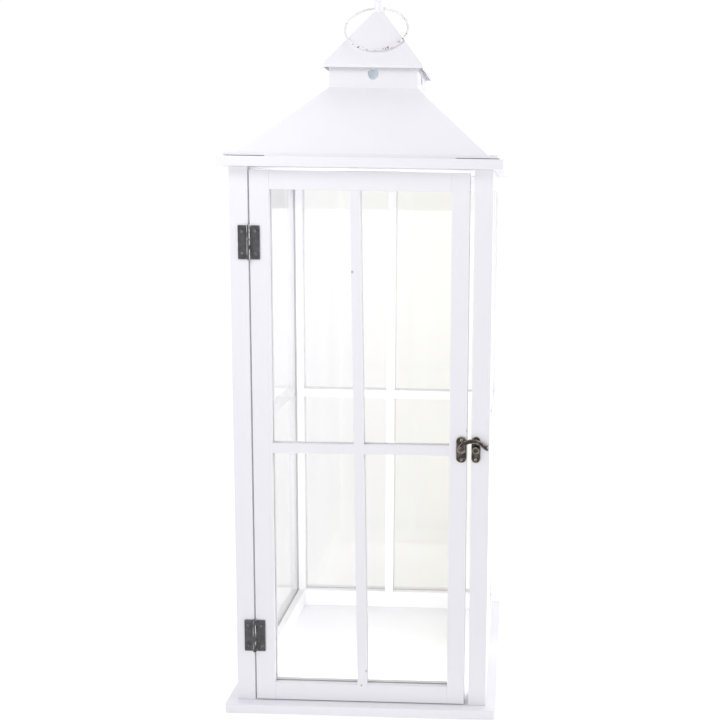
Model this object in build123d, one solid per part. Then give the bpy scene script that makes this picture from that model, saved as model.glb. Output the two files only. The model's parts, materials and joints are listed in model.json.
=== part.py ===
from build123d import *
import os
from math import atan2, degrees, radians, sin

# Hurricane candle lantern: white wooden frame glazed on all four sides, hinged front door with a
# lift latch, sheet-metal roof with a vented collar, pyramid cap, finial and carrying ring.
# Millimetres. +X right, +Y back, +Z up. Origin: middle of the base plate's underside.

# ---------------------------------------------------------------- driving dimensions: frame
BODY_W = 240.0           # over the corner posts, both ways
POST_W = 17.0            # square corner posts; the side rails are as deep
PLATE_OVERHANG = 10.0    # base and top plates beyond the posts
PLATE_CORNER_R = 3.0
BASE_T = 9.0
TOP_T = 9.0
TOP_UNDERSIDE_Z = 519.0
BOTTOM_RAIL_H = 19.0
TOP_RAIL_H = 17.0
PANEL_CROSSBAR_Z = {"left": 269.0, "right": 269.0, "back": 267.3}
VENT_HOLE_R = 45.0       # round heat outlet in the top plate, under the roof
EASE = 0.5               # sanded-off arris on every wooden piece
FRAME_SCREW_HEAD_R = 3.1
FRAME_SCREW_HEAD_H = 2.0
FRAME_SCREW_SHANK_R = 1.6
FRAME_SCREW_LENGTH = 28.0

# ---------------------------------------------------------------- driving dimensions: glazing
GLASS_T = 2.0
GROOVE_W = 2.2
GROOVE_D = 4.0
GLASS_TOP_PLAY = 0.5
MUNTIN_W = 9.4
MUNTIN_SETBACK = 0.5     # bars stop this far behind the frame's faces
PANEL_FACES = {"left": ["outer"], "right": ["outer"], "back": ["outer", "inner"]}
# Hand-fitted crosses: where the bars cross, from the middle of the panel, and how they lean, degrees.
SIDE_CROSS = {"shift": 0.0, "upright_lean": 0.0, "crossbar_lean": 0.0}
BACK_CROSS = {"shift": 1.4, "upright_lean": -0.35, "crossbar_lean": 0.0}
DOOR_CROSS = {"shift": -1.75, "upright_lean": -0.72, "crossbar_lean": -0.36}

# ---------------------------------------------------------------- driving dimensions: door
DOOR_T = 12.0
HINGE_GAP = 1.5
LATCH_GAP = 4.2
DOOR_BOTTOM_GAP = 1.0
DOOR_TOP_GAP = 3.2
HINGE_STILE_W = 18.0
LATCH_STILE_W = 16.4
DOOR_RAIL_H = 17.0
DOOR_CROSSBAR_Z = 259.0

# ---------------------------------------------------------------- driving dimensions: hinges
HINGE_Z = {"lower": 74.5, "upper": 450.5}
LEAF_W = 10.0
LEAF_H = 31.0
LEAF_T = 1.0
LEAF_CORNER_R = 0.6
BARREL_R = 1.7
PIN_R = 0.85
PIN_CLEARANCE = 0.05
KNUCKLES = 5
KNUCKLE_GAP = 0.3
PIN_TIP_R = 1.5
PIN_TIP_H = 0.8
PIN_TIP_ROUND = 0.5
HINGE_SCREW_OFFSET = (6.2, 10.0)   # out from the hinge axis, up and down from the middle
HEAD_ROUNDING = 0.75     # rounded share of a small head's thickness
HINGE_SCREW = {"head_r": 1.9, "head_t": 0.7, "shank_r": 0.9, "length": 8.0}

# ---------------------------------------------------------------- driving dimensions: latch
LATCH_PLATE_H = 25.0
LATCH_PLATE_T = 1.0
LATCH_PLATE_ROUND = 0.35
LATCH_Z = 261.2
DOOR_PLATE_X = 93.7
DOOR_PLATE_W = 10.0
KEEPER_PLATE_X = 107.3
KEEPER_PLATE_W = 8.6
PIVOT_Z = 262.0
RIVET_R = 1.5
RIVET_CLEARANCE = 0.05
RIVET_HEAD_R = 2.6
RIVET_HEAD_T = 1.0
RIVET_HEAD_ROUND = 0.7
RIVET_PLAY = 0.3         # along the rivet, each side of the lever
RIVETED_DEPTH = 5.0      # rivet and knob shanks into the wood
KNOB_Z = 261.5
KNOB_STEM_R = 1.6
KNOB_HEAD_R = 3.3
KNOB_HEAD_T = 1.9
KNOB_REACH = 3.6         # outer face of the knob's head, out from the plate
KNOB_ROUND = 0.5
KNOB_DISH_R = 4.0
KNOB_DISH_DEPTH = 0.8
LEVER_T = 1.6
LEVER_LIFT = 1.0         # lever's back face, out from the plate
LEVER_EYE_R = 3.8
LATCH_NAIL_OFFSET = 9.3  # up and down from the middle of a plate
LATCH_NAIL = {"head_r": 1.3, "head_t": 0.5, "shank_r": 0.6, "length": 8.0}

# ---------------------------------------------------------------- driving dimensions: roof
SHEET_T = 1.0
FLANGE_HALF = 125.0
FLANGE_RIM_H = 3.5       # flange's folded rim, which stands on the top plate
RIM_FOOT_HALF = 86.0     # the rim touches the plate over this much each way; beyond it a slit is left
RIM_SLIT_H = 0.8
ROOF_FOOT_HALF = 114.8
COLLAR_HALF = 43.0
ROOF_TOP_Z = 598.3
COLLAR_HOLE_R = 5.2
COLLAR_HOLE_Z = 611.3
EAVE_Z = 617.0
EAVE_LIP_H = 2.8
COLLAR_INTO_CAP = 15.0   # more than the cap's slope leaves room for, and trimmed to it
EAVE_HALF = 48.5
CAP_TOP_HALF = 4.8
CAP_TIP_HALF = 5.8       # pyramid's width under the flattened tip
CAP_TOP_Z = 676.7
STEM_R = 4.8
STEM_TOP_Z = 687.0
BALL_R = 5.4
BALL_Z = 690.2
STUD_R = 1.95
STUD_LENGTH = 9.0
NUT_FLATS = 7.0
NUT_T = 3.2
RING_HOLE_Z = 681.3
RING_HOLE_R = 1.9
RING_MEAN_R = 30.9
RING_WIRE_R = 1.15
RING_REST_DEG = 49.0     # below level, leaning on the front of the cap
FLANGE_SCREW_AT = 118.5
FLANGE_SCREW_HEAD_R = 2.4
FLANGE_SCREW_HEAD_T = 0.9
FLANGE_SCREW_ROUND = 0.6
FLANGE_SCREW_SHANK_R = 1.0
FLANGE_SCREW_LENGTH = 8.5

# ---------------------------------------------------------------- planes and edges worked out from them
FRONT = -BODY_W / 2
POST_INNER = BODY_W / 2 - POST_W
TOP_Z = TOP_UNDERSIDE_Z + TOP_T
FLANGE_Z = TOP_Z + FLANGE_RIM_H
PANEL_LOW = BASE_T + BOTTOM_RAIL_H
PANEL_HIGH = TOP_UNDERSIDE_Z - TOP_RAIL_H
DOOR_LEFT = -POST_INNER + HINGE_GAP
DOOR_RIGHT = POST_INNER - LATCH_GAP
DOOR_LOW = BASE_T + DOOR_BOTTOM_GAP
DOOR_HIGH = TOP_UNDERSIDE_Z - DOOR_TOP_GAP
DOOR_BACK = FRONT + DOOR_T
PANE_LEFT = DOOR_LEFT + HINGE_STILE_W
PANE_RIGHT = DOOR_RIGHT - LATCH_STILE_W
PANE_LOW = DOOR_LOW + DOOR_RAIL_H
PANE_HIGH = DOOR_HIGH - DOOR_RAIL_H
HINGE_X = -POST_INNER + HINGE_GAP / 2
HINGE_Y = FRONT - BARREL_R
SIDE_TURN = {"left": -90, "right": 90, "back": 180}   # turns a front panel onto each fixed side


def block(x0, x1, y0, y1, z0, z1):
    """Box between two corners."""
    middle = Pos((x0 + x1) / 2, (y0 + y1) / 2, (z0 + z1) / 2)
    return middle * Box(x1 - x0, y1 - y0, z1 - z0)


def timber(x0, x1, y0, y1, z0, z1):
    """Straight wooden piece with sanded edges."""
    piece = block(x0, x1, y0, y1, z0, z1)
    return fillet(piece.edges(), EASE)


def square_loft(half_low, z_low, half_high, z_high):
    """Solid that tapers from one centred square to another."""
    low = Pos(0, 0, z_low) * Rectangle(2 * half_low, 2 * half_low)
    high = Pos(0, 0, z_high) * Rectangle(2 * half_high, 2 * half_high)
    return loft([low.face(), high.face()], ruled=True)


def upright_rod(x, y, z0, z1, radius):
    """Vertical cylinder."""
    return Pos(x, y, (z0 + z1) / 2) * Cylinder(radius, z1 - z0)


def rod_out(x, z, y_back, y_front, radius):
    """Cylinder that runs from y_back out towards the front."""
    middle = Pos(x, (y_back + y_front) / 2, z) * Rot(90, 0, 0)
    return middle * Cylinder(radius, y_back - y_front)


def plate_out(outline, y_back, thickness):
    """Outline drawn in X and Z, standing out towards the front from y_back."""
    return extrude(Plane.XZ.offset(-y_back) * outline, amount=thickness)


# ================================================================ wooden frame
def glass_slab(x0, x1, z0, z1, y_mid, thickness):
    """Upright sheet parallel to the front."""
    return block(x0, x1, y_mid - thickness / 2, y_mid + thickness / 2, z0, z1)


def panel_groove():
    """Saw-cut groove round a fixed panel, on the front face's side."""
    y_mid = FRONT + POST_W / 2
    x_end = POST_INNER + GROOVE_D
    return glass_slab(-x_end, x_end, PANEL_LOW - GROOVE_D, PANEL_HIGH + GROOVE_D, y_mid, GROOVE_W)


def panel_glass():
    """Pane that stands in the groove of a fixed panel."""
    y_mid = FRONT + POST_W / 2
    x_end = POST_INNER + GROOVE_D - GLASS_TOP_PLAY
    z_high = PANEL_HIGH + GROOVE_D - GLASS_TOP_PLAY
    return glass_slab(-x_end, x_end, PANEL_LOW - GROOVE_D, z_high, y_mid, GLASS_T)


def leaning_bar(opening, x0, x1, z0, z1, pivot, lean):
    """Bar of a cross: cut long, leant about the crossing point and trimmed to the opening."""
    x_mid, z_mid = pivot
    y0, y1 = opening[2:4]
    about = Pos(x_mid, 0, z_mid) * Rot(0, lean, 0)
    bar = timber(x0 - x_mid, x1 - x_mid, y0, y1, z0 - z_mid, z1 - z_mid)
    return about * bar & block(*opening)


def muntin_pair(x0, x1, z0, z1, pivot, cross, y_face, y_glass):
    """Upright and crossbar on one face of a pane, halved into each other where they cross."""
    x_mid, z_mid = pivot
    y0, y1 = sorted((y_face, y_glass))
    y_half = (y0 + y1) / 2
    half = MUNTIN_W / 2
    opening = (x0, x1, y0, y1, z0, z1)
    upright = leaning_bar(opening, x_mid - half, x_mid + half, z0 - MUNTIN_W, z1 + MUNTIN_W,
                          pivot, cross["upright_lean"])
    crossbar = leaning_bar(opening, x0 - MUNTIN_W, x1 + MUNTIN_W, z_mid - half, z_mid + half,
                           pivot, cross["crossbar_lean"])
    low_half = block(x0, x1, y0, y_half, z0, z1)
    high_half = block(x0, x1, y_half, y1, z0, z1)
    glass_side, face_side = (high_half, low_half) if y_face < y_glass else (low_half, high_half)
    notch = crossbar & glass_side
    return {"upright": upright - notch, "crossbar": crossbar - (upright & face_side)}


def muntin_set(x0, x1, z0, z1, z_mid, cross, y_outer, y_inner):
    """Both crosses of a glazed frame, keyed by face and by bar."""
    pivot = ((x0 + x1) / 2 + cross["shift"], z_mid)
    y_mid = (y_outer + y_inner) / 2
    opening = (x0, x1, z0, z1)
    return {
        "outer": muntin_pair(*opening, pivot, cross, y_outer + MUNTIN_SETBACK, y_mid - GLASS_T / 2),
        "inner": muntin_pair(*opening, pivot, cross, y_inner - MUNTIN_SETBACK, y_mid + GLASS_T / 2),
    }


def frame_screw(x, y, z_head, up):
    """Countersunk wood screw that enters upwards (up = 1) or downwards (up = -1)."""
    low_r, high_r = (FRAME_SCREW_HEAD_R, FRAME_SCREW_SHANK_R)[::up]
    head = Pos(x, y, z_head + up * FRAME_SCREW_HEAD_H / 2) * Cone(low_r, high_r, FRAME_SCREW_HEAD_H)
    z0, z1 = sorted((z_head + up * FRAME_SCREW_HEAD_H, z_head + up * FRAME_SCREW_LENGTH))
    return head + upright_rod(x, y, z0, z1, FRAME_SCREW_SHANK_R)


def frame_screws():
    """Screws through both plates into the ends of the posts."""
    at = BODY_W / 2 - POST_W / 2
    corners = [(x, y) for x in (-at, at) for y in (-at, at)]
    low = [frame_screw(x, y, 0.0, 1) for x, y in corners]
    high = [frame_screw(x, y, TOP_Z, -1) for x, y in corners]
    return low + high


def eased_plate(z0, z1):
    """Square board with rounded corners and sanded edges."""
    half = BODY_W / 2 + PLATE_OVERHANG
    board = block(-half, half, -half, half, z0, z1)
    board = fillet(board.edges().filter_by(Axis.Z), PLATE_CORNER_R)
    return fillet(board.edges().filter_by(Axis.Z, reverse=True), EASE)


def corner_post(x_sign, y_sign):
    """Square post between the plates."""
    outer = BODY_W / 2
    xs = sorted((x_sign * outer, x_sign * POST_INNER))
    ys = sorted((y_sign * outer, y_sign * POST_INNER))
    return timber(xs[0], xs[1], ys[0], ys[1], BASE_T, TOP_UNDERSIDE_Z)


def wooden_frame():
    """Plates, posts, rails, panes and muntins of the three fixed sides."""
    screws = frame_screws()
    grooves = [Rot(0, 0, turn) * panel_groove() for turn in SIDE_TURN.values()]
    vent = upright_rod(0, 0, TOP_UNDERSIDE_Z - 1, TOP_Z + 1, VENT_HOLE_R)
    parts = {
        "base_plate": eased_plate(0.0, BASE_T) - screws,
        "top_plate": eased_plate(TOP_UNDERSIDE_Z, TOP_Z) - vent - screws,
        "frame_screws": Compound(children=screws),
    }
    for y_name, y_sign in (("front", -1), ("back", 1)):
        for x_name, x_sign in (("left", -1), ("right", 1)):
            parts[f"post_{y_name}_{x_name}"] = corner_post(x_sign, y_sign) - grooves - screws
    back_of_rail = FRONT + POST_W
    rail = (-POST_INNER, POST_INNER, FRONT, back_of_rail)
    for side, turn in SIDE_TURN.items():
        spin = Rot(0, 0, turn)
        parts[f"bottom_rail_{side}"] = spin * (timber(*rail, BASE_T, PANEL_LOW) - panel_groove())
        parts[f"top_rail_{side}"] = spin * (timber(*rail, PANEL_HIGH, TOP_UNDERSIDE_Z) - panel_groove())
        parts[f"glass_{side}"] = spin * panel_glass()
        cross = BACK_CROSS if side == "back" else SIDE_CROSS
        crosses = muntin_set(-POST_INNER, POST_INNER, PANEL_LOW, PANEL_HIGH, PANEL_CROSSBAR_Z[side],
                             cross, FRONT, back_of_rail)
        for face in PANEL_FACES[side]:
            for name, bar in crosses[face].items():
                parts[f"muntin_{side}_{name}_{face}"] = spin * bar
    return parts


# ================================================================ door
def door_frame():
    """Door stiles and rails, its pane and its muntins."""
    y_mid = FRONT + DOOR_T / 2
    groove = glass_slab(PANE_LEFT - GROOVE_D, PANE_RIGHT + GROOVE_D, PANE_LOW - GROOVE_D,
                        PANE_HIGH + GROOVE_D, y_mid, GROOVE_W)
    play = GROOVE_D - GLASS_TOP_PLAY
    depth = (FRONT, DOOR_BACK)
    parts = {
        "door_stile_hinge_side": timber(DOOR_LEFT, PANE_LEFT, *depth, DOOR_LOW, DOOR_HIGH) - groove,
        "door_stile_latch_side": timber(PANE_RIGHT, DOOR_RIGHT, *depth, DOOR_LOW, DOOR_HIGH) - groove,
        "door_rail_bottom": timber(PANE_LEFT, PANE_RIGHT, *depth, DOOR_LOW, PANE_LOW) - groove,
        "door_rail_top": timber(PANE_LEFT, PANE_RIGHT, *depth, PANE_HIGH, DOOR_HIGH) - groove,
        "door_glass": glass_slab(PANE_LEFT - play, PANE_RIGHT + play, PANE_LOW - GROOVE_D,
                                 PANE_HIGH + play, y_mid, GLASS_T),
    }
    crosses = muntin_set(PANE_LEFT, PANE_RIGHT, PANE_LOW, PANE_HIGH, DOOR_CROSSBAR_Z, DOOR_CROSS,
                         FRONT, DOOR_BACK)
    for face, bars in crosses.items():
        for name, bar in bars.items():
            parts[f"door_muntin_{name}_{face}"] = bar
    return parts


# ================================================================ hinges
def hinge_leaf(x_sign, z_mid, first_knuckle):
    """Leaf screwed flat on the front, with every second knuckle of the barrel."""
    z_low = z_mid - LEAF_H / 2
    xs = sorted((HINGE_X + x_sign * LEAF_W, HINGE_X + x_sign * (BARREL_R + KNUCKLE_GAP)))
    leaf = block(xs[0], xs[1], FRONT - LEAF_T, FRONT, z_low, z_low + LEAF_H)
    leaf = fillet(leaf.edges().filter_by(Axis.Y), LEAF_CORNER_R)
    pitch = LEAF_H / KNUCKLES
    for i in range(first_knuckle, KNUCKLES, 2):
        z0 = z_low + i * pitch + KNUCKLE_GAP / 2
        z1 = z0 + pitch - KNUCKLE_GAP
        web_xs = sorted((HINGE_X, HINGE_X + x_sign * (BARREL_R + KNUCKLE_GAP + LEAF_CORNER_R)))
        leaf += block(web_xs[0], web_xs[1], FRONT - LEAF_T, FRONT, z0, z1)
        leaf += upright_rod(HINGE_X, HINGE_Y, z0, z1, BARREL_R)
    return leaf - upright_rod(HINGE_X, HINGE_Y, z_low - 1, z_low + LEAF_H + 1, PIN_R + PIN_CLEARANCE)


def hinge_pin(z_mid):
    """Pin with a small domed tip at each end of the barrel."""
    half = LEAF_H / 2 - KNUCKLE_GAP / 2
    pin = upright_rod(HINGE_X, HINGE_Y, z_mid - half, z_mid + half, PIN_R)
    for side in (-1, 1):
        ends = sorted((z_mid + side * half, z_mid + side * (half + PIN_TIP_H)))
        tip = upright_rod(HINGE_X, HINGE_Y, ends[0], ends[1], PIN_TIP_R)
        rim = tip.edges().sort_by(Axis.Z)[-1 if side > 0 else 0]
        pin += fillet(rim, PIN_TIP_ROUND)
    return pin


def front_screw(x, z, y_seat, size):
    """Round-headed screw or nail driven into the front, its head seated at y_seat."""
    head = rod_out(x, z, y_seat, y_seat - size["head_t"], size["head_r"])
    rim = head.edges().sort_by(Axis.Y)[0]
    head = fillet(rim, HEAD_ROUNDING * size["head_t"])
    return head + rod_out(x, z, y_seat + size["length"], y_seat, size["shank_r"])


def hinge_screws(x_sign):
    """Two screws in each leaf on one side of the hinge line."""
    out, up = HINGE_SCREW_OFFSET
    seat = FRONT - LEAF_T
    return [front_screw(HINGE_X + x_sign * out, z_mid + dz, seat, HINGE_SCREW)
            for z_mid in HINGE_Z.values() for dz in (-up, up)]


def hinges():
    """Both butt hinges: frame leaves, door leaves, pins and screws."""
    frame_screw_set = hinge_screws(-1)
    door_screw_set = hinge_screws(1)
    parts = {
        "hinge_frame_screws": Compound(children=frame_screw_set),
        "hinge_door_screws": Compound(children=door_screw_set),
    }
    for name, z_mid in HINGE_Z.items():
        parts[f"hinge_{name}_frame_leaf"] = hinge_leaf(-1, z_mid, 0) - frame_screw_set
        parts[f"hinge_{name}_door_leaf"] = hinge_leaf(1, z_mid, 1) - door_screw_set
        parts[f"hinge_{name}_pin"] = hinge_pin(z_mid)
    return parts, frame_screw_set, door_screw_set


# ================================================================ latch
def latch_plate(x_mid, width, holes):
    """Flat back plate with round ends."""
    outline = Pos(x_mid, LATCH_Z) * SlotOverall(LATCH_PLATE_H, width, rotation=90)
    plate = plate_out(outline, FRONT, LATCH_PLATE_T)
    rim = plate.faces().sort_by(Axis.Y)[0].edges()
    return fillet(rim, LATCH_PLATE_ROUND) - holes


def rounded_bar(start, end, width):
    """Flat bar with round ends between two points."""
    along = Vector(*end) - Vector(*start)
    middle = (Vector(*start) + Vector(*end)) / 2
    turn = degrees(atan2(along.Y, along.X))
    return Pos(middle.X, middle.Y) * Rot(0, 0, turn) * SlotCenterToCenter(along.length, width)


def lever_outline():
    """Eye, arched arm and forked tip of the lift lever, in X and Z."""
    x, z = DOOR_PLATE_X, PIVOT_Z
    back_low, back_top, back_end = (x - 3.5, z + 1.2), (x + 7.9, z + 9.6), (x + 20.6, z + 5.8)
    belly_end, belly_top, belly_low = (x + 19.4, z + 2.9), (x + 9.4, z + 5.9), (x + 2.3, z + 2.6)
    arm = make_face([
        ThreePointArc(back_low, back_top, back_end),
        Line(back_end, belly_end),
        ThreePointArc(belly_end, belly_top, belly_low),
        Line(belly_low, back_low),
    ])
    eye = Pos(x, z) * Circle(LEVER_EYE_R)
    upper_prong = rounded_bar((x + 19.6, z + 4.7), (x + 24.2, z + 3.3), 2.0)
    lower_prong = rounded_bar((x + 19.4, z + 4.1), (x + 24.0, z + 0.6), 2.9)
    return arm + eye + upper_prong + lower_prong


def latch_lever():
    """Lift lever that rests over the keeper's knob."""
    lever = plate_out(lever_outline(), FRONT - LATCH_PLATE_T - LEVER_LIFT, LEVER_T)
    seat = FRONT - LATCH_PLATE_T - LEVER_LIFT
    return lever - rod_out(DOOR_PLATE_X, PIVOT_Z, seat + 1, seat - LEVER_T - 1, RIVET_R + RIVET_CLEARANCE)


def pivot_rivet():
    """Shouldered rivet that the lever turns on."""
    plate_face = FRONT - LATCH_PLATE_T
    head_seat = plate_face - LEVER_LIFT - LEVER_T - RIVET_PLAY
    head = rod_out(DOOR_PLATE_X, PIVOT_Z, head_seat, head_seat - RIVET_HEAD_T, RIVET_HEAD_R)
    rim = head.edges().sort_by(Axis.Y)[0]
    shank = rod_out(DOOR_PLATE_X, PIVOT_Z, FRONT + RIVETED_DEPTH, head_seat, RIVET_R)
    shoulder_face = plate_face - LEVER_LIFT + RIVET_PLAY
    shoulder = rod_out(DOOR_PLATE_X, PIVOT_Z, plate_face, shoulder_face, RIVET_HEAD_R)
    return fillet(rim, RIVET_HEAD_ROUND) + shank + shoulder


def keeper_knob():
    """Knob with a dished head, riveted through the keeper plate."""
    plate_face = FRONT - LATCH_PLATE_T
    outer = plate_face - KNOB_REACH
    head = rod_out(KEEPER_PLATE_X, KNOB_Z, outer + KNOB_HEAD_T, outer, KNOB_HEAD_R)
    rim = head.edges().sort_by(Axis.Y)[0]
    dish = Pos(KEEPER_PLATE_X, outer - KNOB_DISH_R + KNOB_DISH_DEPTH, KNOB_Z) * Sphere(KNOB_DISH_R)
    stem = rod_out(KEEPER_PLATE_X, KNOB_Z, FRONT + RIVETED_DEPTH, outer + KNOB_HEAD_T, KNOB_STEM_R)
    return fillet(rim, KNOB_ROUND) - dish + stem


def latch_nails(x_mid):
    """One small nail at each end of a latch plate."""
    seat = FRONT - LATCH_PLATE_T
    return [front_screw(x_mid, LATCH_Z + dz, seat, LATCH_NAIL)
            for dz in (-LATCH_NAIL_OFFSET, LATCH_NAIL_OFFSET)]


def latch():
    """Door plate, lever and rivet, and the keeper on the post."""
    door_nails = latch_nails(DOOR_PLATE_X)
    keeper_nails = latch_nails(KEEPER_PLATE_X)
    rivet = pivot_rivet()
    knob = keeper_knob()
    parts = {
        "latch_door_plate": latch_plate(DOOR_PLATE_X, DOOR_PLATE_W, door_nails + [rivet]),
        "latch_door_nails": Compound(children=door_nails),
        "latch_pivot_rivet": rivet,
        "latch_lever": latch_lever(),
        "latch_keeper_plate": latch_plate(KEEPER_PLATE_X, KEEPER_PLATE_W, keeper_nails + [knob]),
        "latch_keeper_nails": Compound(children=keeper_nails),
        "latch_keeper_knob": knob,
    }
    return parts, door_nails + [rivet], keeper_nails + [knob]


# ================================================================ roof
def slope_shell(half_low, z_low, half_high, z_high, open_low, open_high):
    """Outside and hollow of a four-sided sheet-metal slope; the hollow may run past either end."""
    outside = square_loft(half_low, z_low, half_high, z_high)
    slope = atan2(z_high - z_low, half_low - half_high)
    wall = SHEET_T / sin(slope)
    per_z = (half_high - half_low) / (z_high - z_low)
    z0, z1 = z_low - open_low, z_high + open_high
    hollow = square_loft(half_low + per_z * (z0 - z_low) - wall, z0,
                         half_high + per_z * (z1 - z_high) - wall, z1)
    return outside, hollow


def flange_screws():
    """Small pan-head screws that hold the roof down at the corners of its flange."""
    screws = []
    for x in (-FLANGE_SCREW_AT, FLANGE_SCREW_AT):
        for y in (-FLANGE_SCREW_AT, FLANGE_SCREW_AT):
            head = upright_rod(x, y, FLANGE_Z, FLANGE_Z + FLANGE_SCREW_HEAD_T, FLANGE_SCREW_HEAD_R)
            rim = head.edges().sort_by(Axis.Z)[-1]
            shank = upright_rod(x, y, FLANGE_Z - FLANGE_SCREW_LENGTH, FLANGE_Z, FLANGE_SCREW_SHANK_R)
            screws.append(fillet(rim, FLANGE_SCREW_ROUND) + shank)
    return screws


def roof(screws):
    """Hipped sheet-metal roof with a turned-out flange and a folded rim under the flange's edge."""
    outside, hollow = slope_shell(ROOF_FOOT_HALF, FLANGE_Z, COLLAR_HALF, ROOF_TOP_Z, 2 * SHEET_T, 1.0)
    flange = block(-FLANGE_HALF, FLANGE_HALF, -FLANGE_HALF, FLANGE_HALF, TOP_Z, FLANGE_Z)
    flange = fillet(flange.edges().filter_by(Axis.Z), PLATE_CORNER_R)
    inner = FLANGE_HALF - SHEET_T
    under_flange = block(-inner, inner, -inner, inner, TOP_Z - 1.0, FLANGE_Z - SHEET_T)
    roof_shell = flange - under_flange + outside - hollow - screws
    for x0, x1 in ((-FLANGE_HALF - 1.0, -RIM_FOOT_HALF), (RIM_FOOT_HALF, FLANGE_HALF + 1.0)):
        for y0, y1 in ((-FLANGE_HALF - 1.0, -RIM_FOOT_HALF), (RIM_FOOT_HALF, FLANGE_HALF + 1.0)):
            roof_shell -= block(x0, x1, y0, y1, TOP_Z - 1.0, TOP_Z + RIM_SLIT_H)
    return roof_shell


def cap_shell():
    """Pyramid cap with an upright lip round its eaves, and the hollow under it."""
    lip_top = EAVE_Z + EAVE_LIP_H
    outside, hollow = slope_shell(EAVE_HALF, lip_top, CAP_TIP_HALF, CAP_TOP_Z - SHEET_T, 0.0, 0.0)
    tip = square_loft(CAP_TIP_HALF, CAP_TOP_Z - SHEET_T, CAP_TOP_HALF, CAP_TOP_Z)
    lip_inner = EAVE_HALF - SHEET_T
    lip = block(-EAVE_HALF, EAVE_HALF, -EAVE_HALF, EAVE_HALF, EAVE_Z, lip_top)
    under_lip = block(-lip_inner, lip_inner, -lip_inner, lip_inner, EAVE_Z - 1.0, lip_top)
    shell = outside + tip + lip - hollow - under_lip
    stud_hole = upright_rod(0, 0, CAP_TOP_Z - STUD_LENGTH, CAP_TOP_Z + 1.0, STUD_R)
    return shell - stud_hole, hollow + under_lip


def vent_collar(under_cap):
    """Square sheet-metal box between roof and cap, with one round hole in each face."""
    inner = COLLAR_HALF - SHEET_T
    z_high = EAVE_Z + COLLAR_INTO_CAP
    tube = block(-COLLAR_HALF, COLLAR_HALF, -COLLAR_HALF, COLLAR_HALF, ROOF_TOP_Z, z_high)
    tube -= block(-inner, inner, -inner, inner, ROOF_TOP_Z - 1.0, z_high + 1.0)
    reach = COLLAR_HALF + 1.0
    along_y = rod_out(0, COLLAR_HOLE_Z, reach, -reach, COLLAR_HOLE_R)
    tube = tube - along_y - Rot(0, 0, 90) * along_y
    below_cap = block(-reach, reach, -reach, reach, ROOF_TOP_Z, EAVE_Z)
    return tube & (below_cap + under_cap)


def finial():
    """Turned stem and ball with a cross hole for the ring and a stud through the cap."""
    stem = upright_rod(0, 0, CAP_TOP_Z, STEM_TOP_Z, STEM_R)
    ball = Pos(0, 0, BALL_Z) * Sphere(BALL_R)
    stud = upright_rod(0, 0, CAP_TOP_Z - STUD_LENGTH, CAP_TOP_Z, STUD_R)
    ring_hole = Pos(0, 0, RING_HOLE_Z) * Rot(0, 90, 0) * Cylinder(RING_HOLE_R, 3 * STEM_R)
    return stem + ball + stud - ring_hole


def finial_nut():
    """Hexagon nut on the finial's stud, inside the cap."""
    top = CAP_TOP_Z - SHEET_T
    hexagon = Pos(0, 0, top - NUT_T) * RegularPolygon(NUT_FLATS / 2, 6, major_radius=False)
    return extrude(hexagon, amount=NUT_T) - upright_rod(0, 0, top - NUT_T - 1, top + 1, STUD_R)


def carry_ring():
    """Round wire ring through the finial, leaning forward on the cap."""
    flat_ring = Pos(0, -RING_MEAN_R, 0) * Torus(RING_MEAN_R, RING_WIRE_R)
    return Pos(0, 0, RING_HOLE_Z) * Rot(RING_REST_DEG, 0, 0) * flat_ring


def roof_parts():
    """Everything above the top plate."""
    screws = flange_screws()
    cap, under_cap = cap_shell()
    return {
        "roof": roof(screws),
        "roof_screws": Compound(children=screws),
        "vent_collar": vent_collar(under_cap),
        "cap": cap,
        "finial": finial(),
        "finial_nut": finial_nut(),
        "carry_ring": carry_ring(),
    }, screws


# ================================================================ assembly
def lantern():
    """All sub-parts by node name, with every fastener's hole cut in what it holds."""
    parts = wooden_frame()
    parts.update(door_frame())
    hinge_parts, frame_side_screws, door_side_screws = hinges()
    latch_parts, door_fixings, keeper_fixings = latch()
    upper_parts, roof_screws = roof_parts()
    parts.update(hinge_parts)
    parts.update(latch_parts)
    parts.update(upper_parts)
    drilled = {
        "post_front_left": frame_side_screws,
        "post_front_right": keeper_fixings,
        "door_stile_hinge_side": door_side_screws,
        "door_stile_latch_side": door_fixings,
        "top_plate": roof_screws,
    }
    for name, fasteners in drilled.items():
        parts[name] = parts[name] - fasteners
    return parts


os.makedirs("parts", exist_ok=True)
for node, solid in lantern().items():
    export_step(solid, f"parts/{node}.step")
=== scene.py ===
import json
import math

import bmesh
import bpy
from mathutils import Matrix, Vector


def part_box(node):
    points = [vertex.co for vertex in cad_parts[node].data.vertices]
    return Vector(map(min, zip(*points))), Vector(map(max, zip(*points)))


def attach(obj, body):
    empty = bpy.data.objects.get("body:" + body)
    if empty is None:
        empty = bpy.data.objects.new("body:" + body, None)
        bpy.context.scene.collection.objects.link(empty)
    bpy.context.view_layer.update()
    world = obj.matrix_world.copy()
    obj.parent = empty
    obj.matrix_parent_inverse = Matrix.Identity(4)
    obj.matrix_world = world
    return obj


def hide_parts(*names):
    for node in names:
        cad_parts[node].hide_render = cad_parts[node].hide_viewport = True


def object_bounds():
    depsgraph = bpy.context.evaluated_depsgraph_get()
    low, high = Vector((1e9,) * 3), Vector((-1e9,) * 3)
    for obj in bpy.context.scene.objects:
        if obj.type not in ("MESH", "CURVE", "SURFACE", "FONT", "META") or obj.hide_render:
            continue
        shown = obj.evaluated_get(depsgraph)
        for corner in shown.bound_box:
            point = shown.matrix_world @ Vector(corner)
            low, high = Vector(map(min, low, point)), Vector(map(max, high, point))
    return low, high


# Looks of the candle lantern: paint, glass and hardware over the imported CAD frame, in metres.

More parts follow.
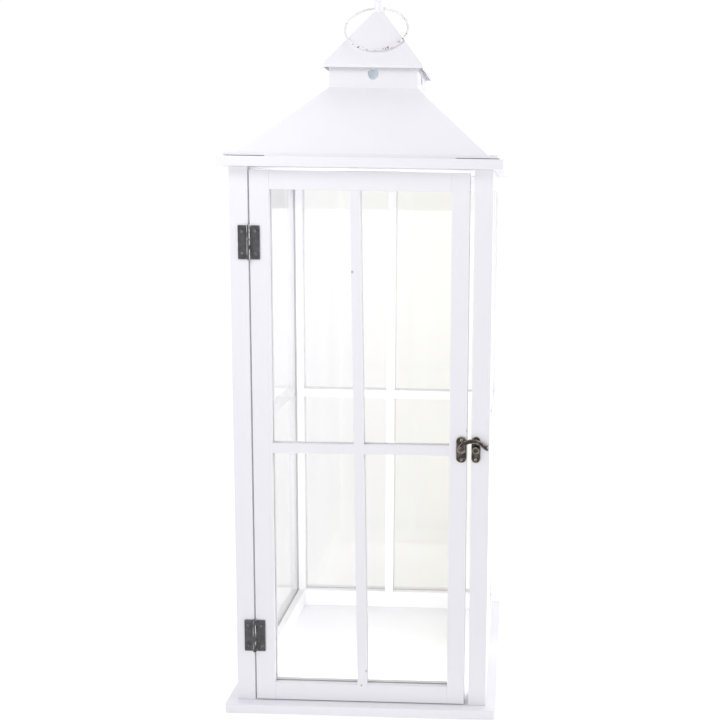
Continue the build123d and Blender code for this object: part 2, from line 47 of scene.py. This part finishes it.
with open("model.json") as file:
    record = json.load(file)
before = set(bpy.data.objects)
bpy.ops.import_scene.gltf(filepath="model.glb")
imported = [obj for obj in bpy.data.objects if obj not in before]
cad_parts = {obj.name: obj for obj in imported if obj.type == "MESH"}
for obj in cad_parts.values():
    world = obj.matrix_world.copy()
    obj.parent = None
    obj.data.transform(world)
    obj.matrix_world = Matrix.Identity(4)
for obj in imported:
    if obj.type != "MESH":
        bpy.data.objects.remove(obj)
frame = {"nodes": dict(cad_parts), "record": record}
cad_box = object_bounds()
NODES = frame["nodes"]
MM = 0.001
FORWARD = (0.0, -1.0, 0.0)       # out through the door
BACKWARD = (0.0, 1.0, 0.0)
UP = (0.0, 0.0, 1.0)
DOWN_LEFT = (-1.0, 0.0, -1.0)


def rgb(r, g, b):
    return (r, g, b, 1.0)


# ---------------------------------------------------------------- driving values: wood paint
WHITE_PAINT = rgb(0.860, 0.857, 0.885)
THIN_PAINT = rgb(0.845, 0.843, 0.870)
GRAIN_SHADE = rgb(0.80, 0.795, 0.81)
RUBBED_EDGE = rgb(0.52, 0.44, 0.34)
KNOCKED_PAINT = rgb(0.46, 0.42, 0.37)
GRAIN_STRETCH = 14.0     # how much longer than wide the grain's marks are
STROKE_STRETCH = 2.5     # of the brush marks, times the grain's
KNOCKS = (               # places where the paint is knocked through, and how wide
    ((-0.0081, -0.1195, 0.4250), 1.3 * MM),
    ((0.0053, -0.1195, 0.0409), 1.4 * MM),
    ((0.0001, -0.1200, 0.0262), 1.0 * MM),
    ((0.0988, -0.1200, 0.2790), 0.9 * MM),
)

# ---------------------------------------------------------------- driving values: metal and its paint
SHEET_PAINT = rgb(0.865, 0.862, 0.890)
SHEET_PAINT_DULL = rgb(0.850, 0.848, 0.871)
CHIPPED_STEEL = rgb(0.24, 0.21, 0.19)
RING_PAINT = (rgb(0.76, 0.76, 0.765), rgb(0.88, 0.88, 0.885))
RING_STEEL = (rgb(0.13, 0.115, 0.105), rgb(0.34, 0.28, 0.23))
RING_WEAR_X = (-0.02, 0.03)      # the ring's wear grows from the first place to the second
RING_WEAR_Z = (0.685, 0.640)
HINGE_BLACK = (rgb(0.055, 0.055, 0.061), rgb(0.100, 0.098, 0.104))
# grey of the rubbed edges (wear), also used for the painted glint along the barrel
HINGE_RUB_AND_GLINT = rgb(0.72, 0.72, 0.71)
BARREL_GLINT = 1.1 * MM          # off the hinge's axis, where a painted glint runs down each flank of its barrel
GLINT_HALF = (0.42 * MM, 0.18 * MM)      # outer and inner edge of the painted glint line, from its middle
BRONZE_PATINA = (rgb(0.046, 0.042, 0.038), rgb(0.140, 0.116, 0.098))
# rubbed bronze on raised edges, made brighter as a painted highlight
BRONZE_RUB_AND_HIGHLIGHT = rgb(0.95, 0.86, 0.74)
ZINC = (rgb(0.50, 0.50, 0.49), rgb(0.66, 0.66, 0.67))

# ---------------------------------------------------------------- driving values: glass and floor
CLEAN_GLASS = rgb(0.994, 0.994, 0.993)
# painted shade: darker see-through tint of the lower glass, standing in for shade seen through the lower
# panes
GLASS_PAINTED_SHADE = rgb(0.935, 0.935, 0.931)
YELLOWED_GLASS = rgb(0.991, 0.992, 0.975)
GLASS_DUST = rgb(0.80, 0.80, 0.77)
MIRROR_FACE_ON = 0.04    # share of light a pane mirrors straight on
MIRROR_GRAZING = 0.90    # and what is added to it at a grazing angle
SHADE_AND_DUST_Z = (0.46, 0.06)    # the painted shade and the dust thicken from the first height to the second
YELLOW_X = (-0.09, 0.10)         # and yellows from the first place to the second
FLOOR_PAINT = (rgb(0.975, 0.975, 0.97), rgb(0.985, 0.985, 0.98))
FLOOR_GLOW = 0.15        # keeps the floor as white as a lit studio sweep
FLOOR_HALF = 60.0

# ---------------------------------------------------------------- driving values: screws and rounding
HINGE_HEAD = (1.9 * MM, 0.7 * MM)        # radius and height of a head
HINGE_SHANK = (0.9 * MM, 8.0 * MM)       # radius and length of a shank
HINGE_SCREW_PITCH = 20.0 * MM
HINGE_BARREL_DEPTH = 2.4 * MM    # from the front of a barrel back to the face of its leaf
ROOF_HEAD = (2.4 * MM, 0.9 * MM)
ROOF_SHANK = (1.0 * MM, 8.5 * MM)
HEAD_RINGS = 14
HEAD_STEPS = 48
HEAD_RIM = 0.35          # height of a head's rim, as a share of the whole head's
RECESS_DEPTH = 0.55      # of the cross recess, as a share of the head's height
RECESS_ARM = 0.16        # half width and reach of the recess's arms, as shares of the head's radius
RECESS_REACH = 0.62
RECESS_SLOPE = 0.12      # share over which an arm's end runs out
FIRST_TURN = 0.7         # radians that the first screw is turned by
NEXT_TURN = 1.9          # and each one after it by that much more
SHANK_SIDES = 24
SHARP_ANGLE = math.radians(50.0)
LEAF_ROUNDING = 0.15 * MM
LEVER_ROUNDING = 0.30 * MM

# ---------------------------------------------------------------- driving values: light
SKY = (1.0, 0.985, 1.04)
SKY_STRENGTH = 0.59
SEEN_STRENGTH = 1.03     # of the plain white that shows behind the lantern
DAYLIGHT = (1.0, 1.0, 1.0)
VENT_LIGHT = (0.80, 1.0, 1.08)
SUNS = (                 # name, direction, strength, spread in degrees
    ("sun_back", (0.0, -0.8, -1.0), 0.90, 50.0),
    ("sun_right", (-1.0, -0.05, -0.28), 1.60, 40.0),
)
KEY_PLACE = (-0.48, -0.56, 0.92)
KEY_DIRECTION = (0.5, 0.50, -0.40)
KEY_SIZE = (0.35, 0.35)
KEY_POWER = 2.2
FILL_POWER = {
    "inside": 0.38,
    "inside_low": 0.18,
    "over_door": 0.0011,
    "hinge_gap": 0.018,
    "collar": 0.0042,
    "base_front": 0.005,
    "base_right": 0.006,
}
INSIDE_SETBACK = 10 * MM         # of the inside fills, behind the door's pane
LOW_FILL_H = 120 * MM
GAP_SETBACK = 2 * MM             # of the gap fills, behind the door
TOP_GAP_MIDDLE = 1.6 * MM        # above the door's top rail
HINGE_GAP_MIDDLE = 0.7 * MM      # left of the hinge stile
TOP_GAP_FILL_H = 2 * MM
HINGE_GAP_FILL_W = 4 * MM
COLLAR_FILL = (50 * MM, 12 * MM)
BASE_FILL_W = 10 * MM
BASE_FRONT_OFF = (40 * MM, 3 * MM)       # out from the base plate's edge, and up from its top
BASE_RIGHT_OFF = (15 * MM, 12 * MM)

# ---------------------------------------------------------------- driving values: camera
CAMERA_PLACE = (0.1408, -0.9994, 0.4888)
CAMERA_YAW = 1.32        # degrees, turned to the left
CAMERA_PITCH = -7.20     # degrees, looking down
CAMERA_ROLL = 0.89       # degrees
CAMERA_SENSOR = 36.0     # millimetres wide
CAMERA_LENS = 48.42      # millimetres
CAMERA_SHIFT = (-0.1834, -0.0471)
CAMERA_NEAR = 0.02


# ================================================================ writing shader nodes briefly
class Shader:
    """A new material and short ways to add nodes to it."""

    def __init__(self, name):
        self.material = bpy.data.materials.new(name)
        self.material.use_nodes = True
        self.tree = self.material.node_tree
        self.tree.nodes.clear()
        self.place = self.add("ShaderNodeTexCoord").outputs["Object"]

    def add(self, kind, inputs=None, **settings):
        """New node with its settings, each input linked or set to a value."""
        node = self.tree.nodes.new(kind)
        for key, value in settings.items():
            setattr(node, key, value)
        for key, value in (inputs or {}).items():
            self.put(node.inputs[key], value)
        return node

    def put(self, socket, value):
        if isinstance(value, bpy.types.NodeSocket):
            self.tree.links.new(value, socket)
        else:
            socket.default_value = value

    def math(self, operation, a, b=0.0, clamp=False):
        node = self.add("ShaderNodeMath", {0: a, 1: b}, operation=operation, use_clamp=clamp)
        return node.outputs[0]

    def axis(self, name):
        """Place along one axis, X, Y or Z."""
        return self.add("ShaderNodeSeparateXYZ", {0: self.place}).outputs[name]

    def stretched(self, stretch, shift=(0.0, 0.0, 0.0)):
        """Object coordinates scaled on each axis, then moved."""
        node = self.add("ShaderNodeMapping", {"Vector": self.place, "Scale": stretch, "Location": shift})
        return node.outputs[0]

    def noise(self, scale, stretch=(1.0, 1.0, 1.0), detail=3.0, shift=(0.0, 0.0, 0.0), distortion=0.0):
        """Noise with scale blobs per metre, each axis divided by its stretch."""
        vector = self.stretched(tuple(1.0 / s for s in stretch), shift)
        node = self.add("ShaderNodeTexNoise", {"Vector": vector, "Scale": scale, "Detail": detail,
                                               "Roughness": 0.55, "Distortion": distortion})
        return node.outputs["Fac"]

    def step(self, value, low, high, out_low=0.0, out_high=1.0):
        """Smooth ramp from out_low to out_high as value goes from low to high."""
        node = self.add("ShaderNodeMapRange", {"Value": value, "From Min": low, "From Max": high,
                                               "To Min": out_low, "To Max": out_high},
                        interpolation_type="SMOOTHSTEP")
        return node.outputs["Result"]

    def mix(self, amount, a, b, blend_type="MIX"):
        """Colour between a and b, or b blended over a."""
        node = self.add("ShaderNodeMix", data_type="RGBA", blend_type=blend_type)
        self.put(node.inputs[0], amount)
        self.put(node.inputs[6], a)
        self.put(node.inputs[7], b)
        return node.outputs[2]

    def spot(self, centre, radius, wobble):
        """1 within radius of a point, with an uneven rim shaped by wobble."""
        away = self.add("ShaderNodeVectorMath", {0: self.place, 1: centre}, operation="DISTANCE")
        reach = self.math("MULTIPLY", self.math("ADD", wobble, 0.5), radius)
        return self.math("LESS_THAN", away.outputs["Value"], reach)

    def rounded(self, radius):
        """Normal softened over sharp edges."""
        return self.add("ShaderNodeBevel", {"Radius": radius}, samples=4).outputs[0]

    def edges(self, radius):
        """1 along convex and concave edges, 0 on flat faces."""
        rounded = self.rounded(radius)
        normal = self.add("ShaderNodeNewGeometry").outputs["Normal"]
        dot = self.add("ShaderNodeVectorMath", {0: rounded, 1: normal}, operation="DOT_PRODUCT")
        return self.step(dot.outputs["Value"], 0.995, 0.93)

    def bump(self, height, distance, strength=1.0, below=None):
        """Normal raised by height, over another normal where one is given."""
        inputs = {"Height": height, "Distance": distance, "Strength": strength}
        if below is not None:
            inputs["Normal"] = below
        return self.add("ShaderNodeBump", inputs).outputs[0]

    def blend(self, amount, a, b):
        """Surface between shaders a and b."""
        return self.add("ShaderNodeMixShader", {0: amount, 1: a, 2: b}).outputs[0]

    def principled(self, **inputs):
        named = {key.replace("_", " "): value for key, value in inputs.items()}
        return self.add("ShaderNodeBsdfPrincipled", named).outputs[0]

    def finish(self, surface):
        out = self.add("ShaderNodeOutputMaterial")
        self.put(out.inputs["Surface"], surface)
        return self.material


# ================================================================ materials
def painted_wood(axis):
    """White satin paint brushed along the grain of softwood, with a few knocks and rubbed edges."""
    s = Shader(f"painted_wood_{axis}")
    along = tuple(GRAIN_STRETCH if name == axis else 1.0 for name in "xyz")
    brushed = tuple(STROKE_STRETCH * a if a > 1 else a for a in along)
    grain = s.noise(620.0, along, detail=4.0, distortion=0.3)
    figure = s.noise(95.0, along, detail=2.0, shift=(3.1, 1.7, 0.4), distortion=0.8)
    strokes = s.noise(1500.0, brushed, detail=2.0)
    cloud = s.noise(14.0, detail=2.0, shift=(0.7, 2.3, 5.1))
    dents = s.step(s.noise(130.0, detail=1.0, shift=(5.0, 9.0, 2.0)), 0.74, 0.82)
    nick_noise = s.noise(170.0, detail=3.0, shift=(8.0, 1.0, 4.0))
    nick = s.math("MULTIPLY", s.edges(0.7 * MM), s.step(nick_noise, 0.69, 0.72))
    wobble = s.noise(900.0, detail=2.0)
    knock = s.spot(*KNOCKS[0], wobble)
    for centre, radius in KNOCKS[1:]:
        knock = s.math("MAXIMUM", knock, s.spot(centre, radius, wobble))
    colour = s.mix(s.step(cloud, 0.3, 0.7, 0.0, 0.35), WHITE_PAINT, THIN_PAINT)
    colour = s.mix(s.step(figure, 0.35, 0.72, 0.0, 0.12), colour, GRAIN_SHADE)
    colour = s.mix(s.math("MULTIPLY", nick, 0.6), colour, RUBBED_EDGE)
    colour = s.mix(s.math("MULTIPLY", knock, 0.8), colour, KNOCKED_PAINT)
    relief = s.math("ADD", s.math("MULTIPLY", grain, 0.55), s.math("MULTIPLY", strokes, 0.25))
    relief = s.math("ADD", relief, s.math("MULTIPLY", figure, 0.6))
    hollow = s.math("MAXIMUM", s.math("MULTIPLY", dents, 0.7), s.math("MAXIMUM", nick, knock))
    relief = s.math("SUBTRACT", relief, hollow)
    rough = s.step(grain, 0.3, 0.7, 0.40, 0.52)
    normal = s.bump(relief, 0.12 * MM, 0.8)
    return s.finish(s.principled(Base_Color=colour, Roughness=rough, IOR=1.48, Normal=normal))


def painted_sheet_metal():
    """White satin paint over thin sheet steel: slow waves in the sheet, orange peel, chipped edges."""
    s = Shader("painted_sheet_metal")
    waves = s.noise(16.0, detail=1.0, shift=(2.0, 6.0, 1.0))
    peel = s.noise(1400.0, detail=1.0)
    cloud = s.noise(22.0, detail=3.0, shift=(4.0, 0.5, 3.0))
    chip_noise = s.noise(210.0, detail=4.0, shift=(1.0, 7.0, 2.0))
    bare = s.math("MULTIPLY", s.edges(0.8 * MM), s.step(chip_noise, 0.70, 0.73))
    colour = s.mix(s.step(cloud, 0.35, 0.7, 0.0, 0.4), SHEET_PAINT, SHEET_PAINT_DULL)
    colour = s.mix(s.math("MULTIPLY", bare, 0.8), colour, CHIPPED_STEEL)
    relief = s.math("SUBTRACT", s.math("MULTIPLY", peel, 0.04), bare)
    normal = s.bump(waves, 2.2 * MM, 0.5)
    normal = s.bump(relief, 0.15 * MM, 0.6, below=normal)
    rough = s.step(cloud, 0.3, 0.7, 0.32, 0.42)
    return s.finish(s.principled(Base_Color=colour, Roughness=rough, IOR=1.5, Normal=normal))


def chipped_ring_wire():
    """Greyed white paint with small specks worn through, most of them low on the right."""
    s = Shader("ring_wire")
    specks = s.noise(420.0, detail=3.0, shift=(2.4, 3.3, 0.2), distortion=0.4)
    to_right = s.step(s.axis("X"), *RING_WEAR_X, 0.0, 0.07)
    low_down = s.step(s.axis("Z"), *RING_WEAR_Z, 0.0, 0.05)
    worn = s.math("ADD", specks, s.math("ADD", to_right, low_down))
    bare = s.step(worn, 0.665, 0.700)
    rust = s.noise(1500.0, detail=3.0)
    steel = s.mix(rust, *RING_STEEL)
    paint = s.mix(s.step(specks, 0.35, 0.65), *RING_PAINT)
    colour = s.mix(bare, paint, steel)
    relief = s.math("SUBTRACT", s.math("MULTIPLY", rust, 0.3), bare)
    rough = s.step(bare, 0.0, 1.0, 0.38, 0.55)
    normal = s.bump(relief, 0.12 * MM, 0.7)
    return s.finish(s.principled(Base_Color=colour, Roughness=rough, IOR=1.5, Normal=normal))


def pane_glass():
    """Clear window glass, too thin to bend the view; its see-through tint darkens downwards as painted
    shade, and a faint dust thickens downwards with it.
    """
    s = Shader("pane_glass")
    facing = s.add("ShaderNodeLayerWeight", {"Blend": 0.5}).outputs["Facing"]
    grazing = s.math("POWER", facing, 5.0)
    mirror_share = s.math("ADD", s.math("MULTIPLY", grazing, MIRROR_GRAZING), MIRROR_FACE_ON)
    cloud = s.noise(9.0, detail=4.0, shift=(1.2, 0.3, 2.0), distortion=0.6)
    uneven = s.math("MULTIPLY", s.math("SUBTRACT", cloud, 0.5), 0.25)
    # one mask for the painted shade in the tint and for the dust, both growing towards the bottom
    low_down = s.math("ADD", s.step(s.axis("Z"), *SHADE_AND_DUST_Z), uneven, clamp=True)
    to_right = s.step(s.axis("X"), *YELLOW_X)
    # painted shade: the tint gets darker towards the bottom
    tint = s.mix(low_down, CLEAN_GLASS, GLASS_PAINTED_SHADE)
    tint = s.mix(to_right, tint, s.mix(1.0, tint, YELLOWED_GLASS, blend_type="MULTIPLY"))
    smear = s.step(s.noise(60.0, (1.0, 1.0, 3.0), detail=2.0), 0.3, 0.8, 0.015, 0.05)
    waviness = s.bump(s.noise(7.0, detail=1.0), 0.6 * MM, 0.25)
    clear = s.add("ShaderNodeBsdfTransparent", {"Color": tint}).outputs[0]
    mirror = s.add("ShaderNodeBsdfAnisotropic", {"Color": rgb(1.0, 1.0, 1.0), "Normal": waviness,
                                                 "Roughness": smear}).outputs[0]
    matt = s.add("ShaderNodeBsdfDiffuse", {"Color": GLASS_DUST}).outputs[0]
    dust = s.step(low_down, 0.0, 1.0, 0.003, 0.022)
    return s.finish(s.blend(dust, s.blend(mirror_share, clear, mirror), matt))


def hinge_iron():
    """Black antique finish on stamped steel, rubbed grey on its edges, with a painted glint down each
    flank of the barrel.
    """
    s = Shader("hinge_iron")
    grit = s.noise(1300.0, detail=3.0)
    cloud = s.noise(150.0, detail=3.0, shift=(4.0, 4.0, 1.0))
    rub = s.math("MULTIPLY", s.edges(0.40 * MM), s.step(cloud, 0.38, 0.62, 0.20, 0.70))
    low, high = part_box("hinge_upper_pin")
    off_axis = s.math("ABSOLUTE", s.math("SUBTRACT", s.axis("X"), 0.5 * (low.x + high.x)))
    off_flank = s.math("ABSOLUTE", s.math("SUBTRACT", off_axis, BARREL_GLINT))
    broken = s.step(s.noise(240.0, (1.0, 1.0, 2.0), detail=2.0, shift=(9.0, 3.0, 1.0)), 0.40, 0.55)
    # painted highlight: a bright line down each flank of the barrel stands in for a glint
    glint = s.math("MULTIPLY", s.step(off_flank, *GLINT_HALF), broken)
    colour = s.mix(s.step(cloud, 0.3, 0.75), *HINGE_BLACK)
    # rubbed edges are wear; the barrel lines are painted highlight
    colour = s.mix(s.math("MAXIMUM", rub, glint), colour, HINGE_RUB_AND_GLINT)
    rough = s.step(grit, 0.3, 0.7, 0.36, 0.55)
    normal = s.bump(grit, 0.06 * MM, 0.7, below=s.rounded(0.3 * MM))
    return s.finish(s.principled(Base_Color=colour, Metallic=0.3, Roughness=rough, IOR=1.5, Normal=normal))


def antique_bronze():
    """Dark patina over cast bronze, rubbed on raised edges; the bright edge colour is partly wear, partly
    painted highlight.
    """
    s = Shader("antique_bronze")
    grit = s.noise(1100.0, detail=3.0, shift=(2.0, 5.0, 3.0))
    cloud = s.noise(260.0, detail=4.0, shift=(3.0, 1.0, 1.0))
    # edge rub: real wear, widened and brightened as a painted highlight along the rims
    rub = s.math("MULTIPLY", s.edges(0.9 * MM), s.step(cloud, 0.40, 0.58, 0.45, 1.0))
    patina = s.mix(s.step(cloud, 0.42, 0.72), *BRONZE_PATINA)
    colour = s.mix(rub, patina, BRONZE_RUB_AND_HIGHLIGHT)
    rough = s.step(grit, 0.3, 0.7, 0.26, 0.46)
    normal = s.bump(grit, 0.07 * MM, 0.6, below=s.rounded(0.35 * MM))
    return s.finish(s.principled(Base_Color=colour, Metallic=0.9, Roughness=rough, IOR=1.5, Normal=normal))


def plated_steel():
    """Zinc-plated screw steel with fine drawing marks."""
    s = Shader("plated_steel")
    marks = s.noise(900.0, (1.0, 6.0, 1.0), detail=3.0)
    cloud = s.noise(240.0, detail=2.0)
    colour = s.mix(cloud, *ZINC)
    rough = s.step(marks, 0.3, 0.7, 0.26, 0.42)
    normal = s.bump(marks, 0.03 * MM, 0.5, below=s.rounded(0.25 * MM))
    return s.finish(s.principled(Base_Color=colour, Metallic=1.0, Roughness=rough, Normal=normal))


def pale_floor():
    """Plain pale studio sweep."""
    s = Shader("pale_floor")
    colour = s.mix(s.noise(3.0, detail=3.0), *FLOOR_PAINT)
    return s.finish(s.principled(Base_Color=colour, Roughness=0.75, Emission_Color=colour,
                                 Emission_Strength=FLOOR_GLOW))


# ================================================================ dressing the CAD nodes
def grain_axis(node):
    """Longest side of a wooden node, which its grain runs along."""
    low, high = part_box(node)
    size = high - low
    return max("xyz", key=lambda a: getattr(size, a))


def dress_cad_nodes():
    """Gives every CAD node its procedural material; returns the ones that aren't wood, by slot."""
    wood = {axis: painted_wood(axis) for axis in "xyz"}
    by_slot = {
        "painted_sheet_metal": painted_sheet_metal(),
        "ring_wire": chipped_ring_wire(),
        "pane_glass": pane_glass(),
        "hinge_iron": hinge_iron(),
        "antique_bronze": antique_bronze(),
        "plated_steel": plated_steel(),
    }
    for part in frame["record"]["subparts"]:
        node, slot = part["node"], part["material_slot"]
        material = wood[grain_axis(node)] if slot == "painted_wood" else by_slot[slot]
        NODES[node].data.materials.clear()
        NODES[node].data.materials.append(material)
    return by_slot


def softened(nodes, width):
    """Rounds the sharp edges of stamped and cast pieces."""
    for node in nodes:
        bevel = NODES[node].modifiers.new("softened", "BEVEL")
        bevel.width = width
        bevel.segments = 2
        bevel.limit_method = "ANGLE"
        bevel.angle_limit = SHARP_ANGLE


# ================================================================ screws in place of CAD nodes
def cross_recess(u, v, radius):
    """Depth share, 0 to 1, of a cross recess at a point of a screw's head."""
    wide = min(abs(u), abs(v)) / radius
    long_way = max(abs(u), abs(v)) / radius
    across = max(0.0, min(1.0, (RECESS_ARM - wide) / (0.5 * RECESS_ARM)))
    along = max(0.0, min(1.0, (RECESS_REACH - long_way) / RECESS_SLOPE))
    return across * along


def head_height(u, v, share, radius, height):
    """Height over the seat at a point of a domed head, share of the way out to its rim."""
    if share == 1.0:
        return 0.0
    dome = HEAD_RIM + (1.0 - HEAD_RIM) * math.sqrt(1.0 - share ** 3)
    return height * (dome - RECESS_DEPTH * cross_recess(u, v, radius))


def screw_head(bm, seat, out, radius, height, turn):
    """Closed domed head with a cross recess, turned about an axis that points out of the work."""
    side = out.orthogonal().normalized()
    up = out.cross(side)
    centre = bm.verts.new(seat + out * head_height(0.0, 0.0, 0.0, radius, height))
    previous = None
    for ring in range(1, HEAD_RINGS + 1):
        share = ring / HEAD_RINGS
        verts = []
        for k in range(HEAD_STEPS):
            angle = 2.0 * math.pi * k / HEAD_STEPS
            u, v = radius * share * math.cos(angle), radius * share * math.sin(angle)
            a, b = math.cos(turn) * u - math.sin(turn) * v, math.sin(turn) * u + math.cos(turn) * v
            rise = head_height(u, v, share, radius, height)
            verts.append(bm.verts.new(seat + side * a + up * b + out * rise))
        for k in range(HEAD_STEPS):
            following = (k + 1) % HEAD_STEPS
            if previous is None:
                bm.faces.new((centre, verts[k], verts[following]))
            else:
                bm.faces.new((previous[k], verts[k], verts[following], previous[following]))
        previous = verts
    bm.faces.new(list(reversed(previous)))


def screw_shank(bm, seat, out, radius, length):
    """Plain round shank from the seat into the work."""
    place = Matrix.Translation(seat - out * length / 2) @ out.to_track_quat("Z", "Y").to_matrix().to_4x4()
    bmesh.ops.create_cone(bm, cap_ends=True, segments=SHANK_SIDES, radius1=radius, radius2=radius,
                          depth=length, matrix=place)


def screw_set(name, node, body, material, places, out, head, shank):
    """Screws with cross recesses that stand for a CAD node of plain ones."""
    bm = bmesh.new()
    for i, place in enumerate(places):
        screw_head(bm, Vector(place), Vector(out), *head, turn=FIRST_TURN + NEXT_TURN * i)
        screw_shank(bm, Vector(place), Vector(out), *shank)
    mesh = bpy.data.meshes.new(name)
    bm.to_mesh(mesh)
    bm.free()
    for polygon in mesh.polygons:
        polygon.use_smooth = True
    mesh.set_sharp_from_angle(angle=SHARP_ANGLE)
    mesh.materials.append(material)
    piece = bpy.data.objects.new(name, mesh)
    bpy.context.scene.collection.objects.link(piece)
    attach(piece, body)
    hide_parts(node)


def hinge_screw_places(node):
    """Where the heads of the four screws in one side's leaves sit, from the CAD screws' box."""
    low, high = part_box(node)
    x = 0.5 * (low.x + high.x)
    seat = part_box("hinge_upper_frame_leaf")[0].y + HINGE_BARREL_DEPTH
    r = HINGE_HEAD[0]
    pitch = HINGE_SCREW_PITCH
    return [(x, seat, z) for z in (low.z + r, low.z + r + pitch, high.z - r - pitch, high.z - r)]


def roof_screw_places():
    """The four corners of the roof's flange."""
    low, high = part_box("roof_screws")
    r = ROOF_HEAD[0]
    seat = high.z - ROOF_HEAD[1]
    return [(x, y, seat) for x in (low.x + r, high.x - r) for y in (low.y + r, high.y - r)]


def recessed_screws(by_slot):
    """Hinge and roof screws with their driver recesses."""
    iron, paint = by_slot["hinge_iron"], by_slot["painted_sheet_metal"]
    for name, node, body in (("hinge_screws_on_post", "hinge_frame_screws", "lantern"),
                             ("hinge_screws_on_door", "hinge_door_screws", "door")):
        places = hinge_screw_places(node)
        screw_set(name, node, body, iron, places, FORWARD, HINGE_HEAD, HINGE_SHANK)
    screw_set("roof_screws_recessed", "roof_screws", "lantern", paint,
              roof_screw_places(), UP, ROOF_HEAD, ROOF_SHANK)


# ================================================================ stage, light and camera
def floor():
    """Large pale floor under the base plate."""
    half = FLOOR_HALF
    mesh = bpy.data.meshes.new("floor")
    level = cad_box[0].z
    corners = [(-half, -half, level), (half, -half, level), (half, half, level), (-half, half, level)]
    mesh.from_pydata(corners, [], [(0, 1, 2, 3)])
    mesh.materials.append(pale_floor())
    plane = bpy.data.objects.new("floor", mesh)
    bpy.context.scene.collection.objects.link(plane)


def white_surround():
    """Even pale sky; seen directly it is a clean white."""
    world = bpy.data.worlds.new("surround")
    world.use_nodes = True
    tree = world.node_tree
    tree.nodes.clear()
    sky = tree.nodes.new("ShaderNodeBackground")
    sky.inputs["Color"].default_value = rgb(*SKY)
    sky.inputs["Strength"].default_value = SKY_STRENGTH
    white = tree.nodes.new("ShaderNodeBackground")
    white.inputs["Color"].default_value = rgb(1.0, 1.0, 1.0)
    white.inputs["Strength"].default_value = SEEN_STRENGTH
    path = tree.nodes.new("ShaderNodeLightPath")
    mix = tree.nodes.new("ShaderNodeMixShader")
    out = tree.nodes.new("ShaderNodeOutputWorld")
    tree.links.new(path.outputs["Is Camera Ray"], mix.inputs[0])
    tree.links.new(sky.outputs[0], mix.inputs[1])
    tree.links.new(white.outputs[0], mix.inputs[2])
    tree.links.new(mix.outputs[0], out.inputs["Surface"])
    bpy.context.scene.world = world


def aim(light, direction):
    """Turns a light so that it shines along direction."""
    light.rotation_euler = Vector(direction).to_track_quat("-Z", "Y").to_euler()
    bpy.context.scene.collection.objects.link(light)


def soft_sun(name, direction, strength, spread_deg):
    data = bpy.data.lights.new(name, "SUN")
    data.energy = strength
    data.angle = math.radians(spread_deg)
    data.color = DAYLIGHT
    aim(bpy.data.objects.new(name, data), direction)


def softbox(name, place, direction, size, power, colour=DAYLIGHT):
    """Rectangular light of a size and power."""
    data = bpy.data.lights.new(name, "AREA")
    data.shape = "RECTANGLE"
    data.size, data.size_y = size
    data.energy = power
    data.color = colour
    light = bpy.data.objects.new(name, data)
    light.location = place
    aim(light, direction)
    return light


def hidden_fill(name, place, direction, size, colour=DAYLIGHT):
    """Small softbox that opens up a dark corner and is never seen itself."""
    fill = softbox(f"fill_{name}", place, direction, size, FILL_POWER[name], colour)
    fill.visible_camera = False
    fill.visible_glossy = False
    fill.visible_transmission = False


def inside_fills():
    """Behind the door's pane: one over its whole height and one low down."""
    low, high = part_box("door_glass")
    width = high.x - low.x
    y = high.y + INSIDE_SETBACK
    hidden_fill("inside", (0.0, y, 0.5 * (low.z + high.z)), BACKWARD, (width, high.z - low.z))
    hidden_fill("inside_low", (0.0, y, low.z + 0.5 * LOW_FILL_H), BACKWARD, (width, LOW_FILL_H))


def gap_fills():
    """Behind the gaps over the door and beside its hinges, shining out of them."""
    low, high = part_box("door_rail_top")
    place = (0.0, high.y + GAP_SETBACK, high.z + TOP_GAP_MIDDLE)
    hidden_fill("over_door", place, FORWARD, (high.x - low.x, TOP_GAP_FILL_H))
    low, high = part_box("door_stile_hinge_side")
    place = (low.x - HINGE_GAP_MIDDLE, high.y + GAP_SETBACK, 0.5 * (low.z + high.z))
    hidden_fill("hinge_gap", place, FORWARD, (HINGE_GAP_FILL_W, high.z - low.z))


def collar_fill():
    """Inside the vent collar, behind its front hole."""
    low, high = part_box("vent_collar")
    place = (0.0, 0.5 * high.y, 0.5 * (low.z + high.z))
    hidden_fill("collar", place, BACKWARD, COLLAR_FILL, VENT_LIGHT)


def base_fills():
    """Along the front and right edges of the base plate."""
    low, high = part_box("base_plate")
    out, up = BASE_FRONT_OFF
    hidden_fill("base_front", (0.0, low.y - out, high.z + up), BACKWARD, (high.x - low.x, BASE_FILL_W))
    out, up = BASE_RIGHT_OFF
    hidden_fill("base_right", (high.x + out, 0.0, high.z + up), DOWN_LEFT, (BASE_FILL_W, high.y - low.y))


def lights():
    """Even sky, a high back light, a low one from the right, a softbox at the upper left, small fills."""
    white_surround()
    for sun in SUNS:
        soft_sun(*sun)
    softbox("key_left", KEY_PLACE, KEY_DIRECTION, KEY_SIZE, KEY_POWER)
    inside_fills()
    gap_fills()
    collar_fill()
    base_fills()


def camera():
    """Looks at the door from a little above the lantern's middle and to its right."""
    data = bpy.data.cameras.new("camera")
    data.sensor_width = CAMERA_SENSOR
    data.lens = CAMERA_LENS
    data.shift_x, data.shift_y = CAMERA_SHIFT
    data.clip_start = CAMERA_NEAR
    item = bpy.data.objects.new("camera", data)
    turn = Matrix.Rotation(math.radians(CAMERA_YAW), 4, "Z")
    tilt = Matrix.Rotation(math.radians(90.0 + CAMERA_PITCH), 4, "X")
    roll = Matrix.Rotation(math.radians(CAMERA_ROLL), 4, "Z")
    item.matrix_world = Matrix.Translation(CAMERA_PLACE) @ turn @ tilt @ roll
    bpy.context.scene.collection.objects.link(item)
    bpy.context.scene.camera = item
    bpy.context.scene.view_settings.view_transform = "Standard"


materials = dress_cad_nodes()
recessed_screws(materials)
softened(("hinge_upper_frame_leaf", "hinge_lower_frame_leaf", "hinge_upper_door_leaf",
          "hinge_lower_door_leaf"), LEAF_ROUNDING)
softened(("latch_lever",), LEVER_ROUNDING)
floor()
lights()
camera()
